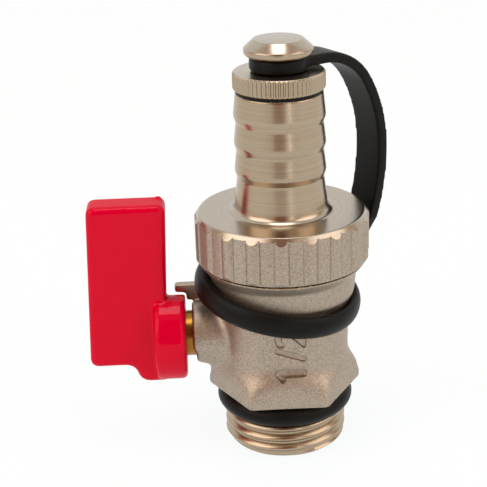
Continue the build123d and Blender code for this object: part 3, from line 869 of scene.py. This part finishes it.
tether = merged_copy("tether", "rubber_tether")
soften(tether, TETHER_VOXEL_MM, TETHER_ROUNDS)
for vertex in tether.data.vertices:
    out = vertex.co / MM - RING_CENTRE_MM
    inward = RING_RADIUS_MM - math.hypot(out.x, out.y)
    if out.z < RING_TOP_MM and abs(out.x) > RING_SIDE_MM and inward > 0:
        fade = min(1, (abs(out.x) - RING_SIDE_MM) / RING_SIDE_FADE_MM)
        swell = RING_SWELL_MM * min(1, inward) * fade
        vertex.co.x -= math.copysign(swell * MM, out.x)
tether.data.materials.append(MOULDED_RUBBER)
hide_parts("tether")
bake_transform(tether)
print("tether has", len(tether.data.polygons), "faces")

# %% [markdown]
# ## Finishes of the nodes that stay
# The sealing ring, the stem and the inner pieces already have their true shape, so the nodes
# themselves are shown, each with the finish of its real material.

# %% Finishes of the remaining nodes
node_finishes = {
    "thread_o_ring": MOULDED_RUBBER,
    "lower_seat": SEAT_PLASTIC,
    "upper_seat": SEAT_PLASTIC,
    "ball": CHROMED_BALL,
    # The retainer and the stem use the brass painted darker for the shade behind the hub.
    "seat_retainer": SHADE_DARKENED_BRASS,
    "stem": SHADE_DARKENED_BRASS,
    "stem_thrust_washer": SEAT_PLASTIC,
    "inner_stem_o_ring": MOULDED_RUBBER,
    "outer_stem_o_ring": MOULDED_RUBBER,
    "handle_grub_screw": PLAIN_STEEL,
    "outlet_washer": MOULDED_RUBBER,
    "plug_gasket": MOULDED_RUBBER,
}
for node, finish in node_finishes.items():
    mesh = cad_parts[node].data
    mesh.materials.clear()
    mesh.materials.append(finish)
print("finished", len(node_finishes), "nodes")

# %% [markdown]
# ## Floor
# The valve was photographed on a white sheet. The floor is plain white paper: rays from the camera
# and from the metal see it as an even white, and part of it stays ordinary paper, so that it still
# takes a shadow. A second sheet stands behind, out of the picture, for the flat rims to mirror.

# %% Floor
FLOOR_SIZE_M = 60.0
BACKDROP_SIZE_M = 3.0
BACKDROP_DISTANCE_M = 0.6
FLOOR_DROP_MM = 0.02
WHITE_SHARE = 0.9
WHITE_STRENGTH = 1.01

deselect_all()
bpy.ops.mesh.primitive_plane_add(size=FLOOR_SIZE_M, location=(0, 0, -FLOOR_DROP_MM * MM))
floor = bpy.context.object
floor.name = "floor"
bpy.ops.mesh.primitive_plane_add(
    size=BACKDROP_SIZE_M, location=(0, BACKDROP_DISTANCE_M, BACKDROP_SIZE_M / 2),
    rotation=(math.radians(90), 0, 0),
)
backdrop = bpy.context.object
backdrop.name = "backdrop"
paper, tree, output = new_finish("white paper")
path = add_node(tree, "ShaderNodeLightPath")
mirrored = add_node(tree, "ShaderNodeMath", {
    0: path.outputs["Is Glossy Ray"], 1: path.outputs["Is Transmission Ray"],
}, operation="MAXIMUM")
seen = add_node(tree, "ShaderNodeMath", {
    0: path.outputs["Is Camera Ray"], 1: mirrored.outputs["Value"],
}, operation="MAXIMUM")
share = add_node(tree, "ShaderNodeMath", {0: seen.outputs["Value"], 1: WHITE_SHARE}, operation="MULTIPLY")
fibre = add_node(tree, "ShaderNodeBsdfDiffuse", {"Color": linear("F2F2F0")})
white = add_node(tree, "ShaderNodeEmission", {"Color": linear("FCFFFF"), "Strength": WHITE_STRENGTH})
mix = add_node(tree, "ShaderNodeMixShader", {
    0: share.outputs["Value"], 1: fibre.outputs["BSDF"], 2: white.outputs["Emission"],
})
tree.links.new(mix.outputs["Shader"], output.inputs["Surface"])
for sheet in (floor, backdrop):
    sheet.data.materials.append(paper)
print("floor", FLOOR_SIZE_M, "m across")

# %% [markdown]
# ## A reflection card behind the camera
# A turned barb mirrors what is behind the camera as a stripe down its middle, here a brown one. A
# brown card hung there paints that stripe as a reflection. It is hidden from the camera, throws no
# shadow and is left out of diffuse light, so it shows in the metal only: a painted reflection.

# %% Reflection card behind the camera
REFLECTION_CARD_WIDTH_M = 0.28
REFLECTION_CARD_HEIGHT_M = 0.9
REFLECTION_CARD_SIDE_M = -0.05
REFLECTION_CARD_DISTANCE_M = 0.55
REFLECTION_CARD_MOTTLE_MM = 25.0

deselect_all()
bpy.ops.mesh.primitive_plane_add(
    location=(REFLECTION_CARD_SIDE_M, -REFLECTION_CARD_DISTANCE_M, REFLECTION_CARD_HEIGHT_M / 2), rotation=(math.radians(90), 0, 0),
)
reflection_card = bpy.context.object
reflection_card.name = "reflection_card"
reflection_card.scale = (REFLECTION_CARD_WIDTH_M / 2, REFLECTION_CARD_HEIGHT_M / 2, 1.0)
# Hidden from camera, shadow and diffuse rays: the sheet only paints a reflection in the metal.
reflection_card.visible_camera = False
reflection_card.visible_shadow = False
reflection_card.visible_diffuse = False
reflection_card_finish, tree, output = new_finish("brown card for a painted reflection")
card_mottle = add_node(tree, "ShaderNodeTexNoise", {
    "Vector": add_node(tree, "ShaderNodeTexCoord").outputs["Object"], "Scale": 1 / (REFLECTION_CARD_MOTTLE_MM * MM),
})
tone = add_node(tree, "ShaderNodeMix", {
    "Factor": card_mottle.outputs["Fac"], "A": linear("7A4526"), "B": linear("8E5530"),
}, data_type="RGBA")
dull = add_node(tree, "ShaderNodeBsdfDiffuse", {"Color": tone.outputs["Result"]})
tree.links.new(dull.outputs["BSDF"], output.inputs["Surface"])
reflection_card.data.materials.append(reflection_card_finish)
print("cloth hangs at", [round(v, 2) for v in reflection_card.location])

# %% [markdown]
# ## Light
# Two large soft lamps stand left and right of the camera, and a smaller one hangs above the valve. A
# narrow, weak one beside the reflection card is there for a thin light line in the turned metal. A dim
# warm world fills the rest of the room.

# %% Light
LAMP_AIM_MM = Vector((0, 0, 38))
ROOM_STRENGTH = 0.55


def soft_lamp(name, place_mm, width_mm, height_mm, watts, colour):
    """A rectangular lamp that faces the middle of the valve."""
    bpy.ops.object.light_add(type="AREA", location=Vector(place_mm) * MM)
    lamp = bpy.context.object
    lamp.name = name
    lamp.data.shape = "RECTANGLE"
    lamp.data.size = width_mm * MM
    lamp.data.size_y = height_mm * MM
    lamp.data.energy = watts
    lamp.data.color = linear(colour)[:3]
    aim = LAMP_AIM_MM * MM - lamp.location
    lamp.rotation_euler = aim.to_track_quat("-Z", "Y").to_euler()


deselect_all()
soft_lamp("left lamp", (-680, -360, 520), 800, 800, 4.0, "FFF8F0")
soft_lamp("right lamp", (700, -300, 480), 700, 800, 2.8, "FFFAF4")
soft_lamp("top lamp", (0, -60, 800), 320, 320, 1.7, "FFFFFF")
soft_lamp("window gap", (200, -520, 150), 40, 700, 0.25, "FFFFFF")

world = bpy.data.worlds.new("dim warm room")
bpy.context.scene.world = world
world.use_nodes = True
background = world.node_tree.nodes["Background"]
background.inputs["Color"].default_value = linear("FFE0C6")
background.inputs["Strength"].default_value = ROOM_STRENGTH
bpy.context.scene.view_settings.view_transform = "Standard"
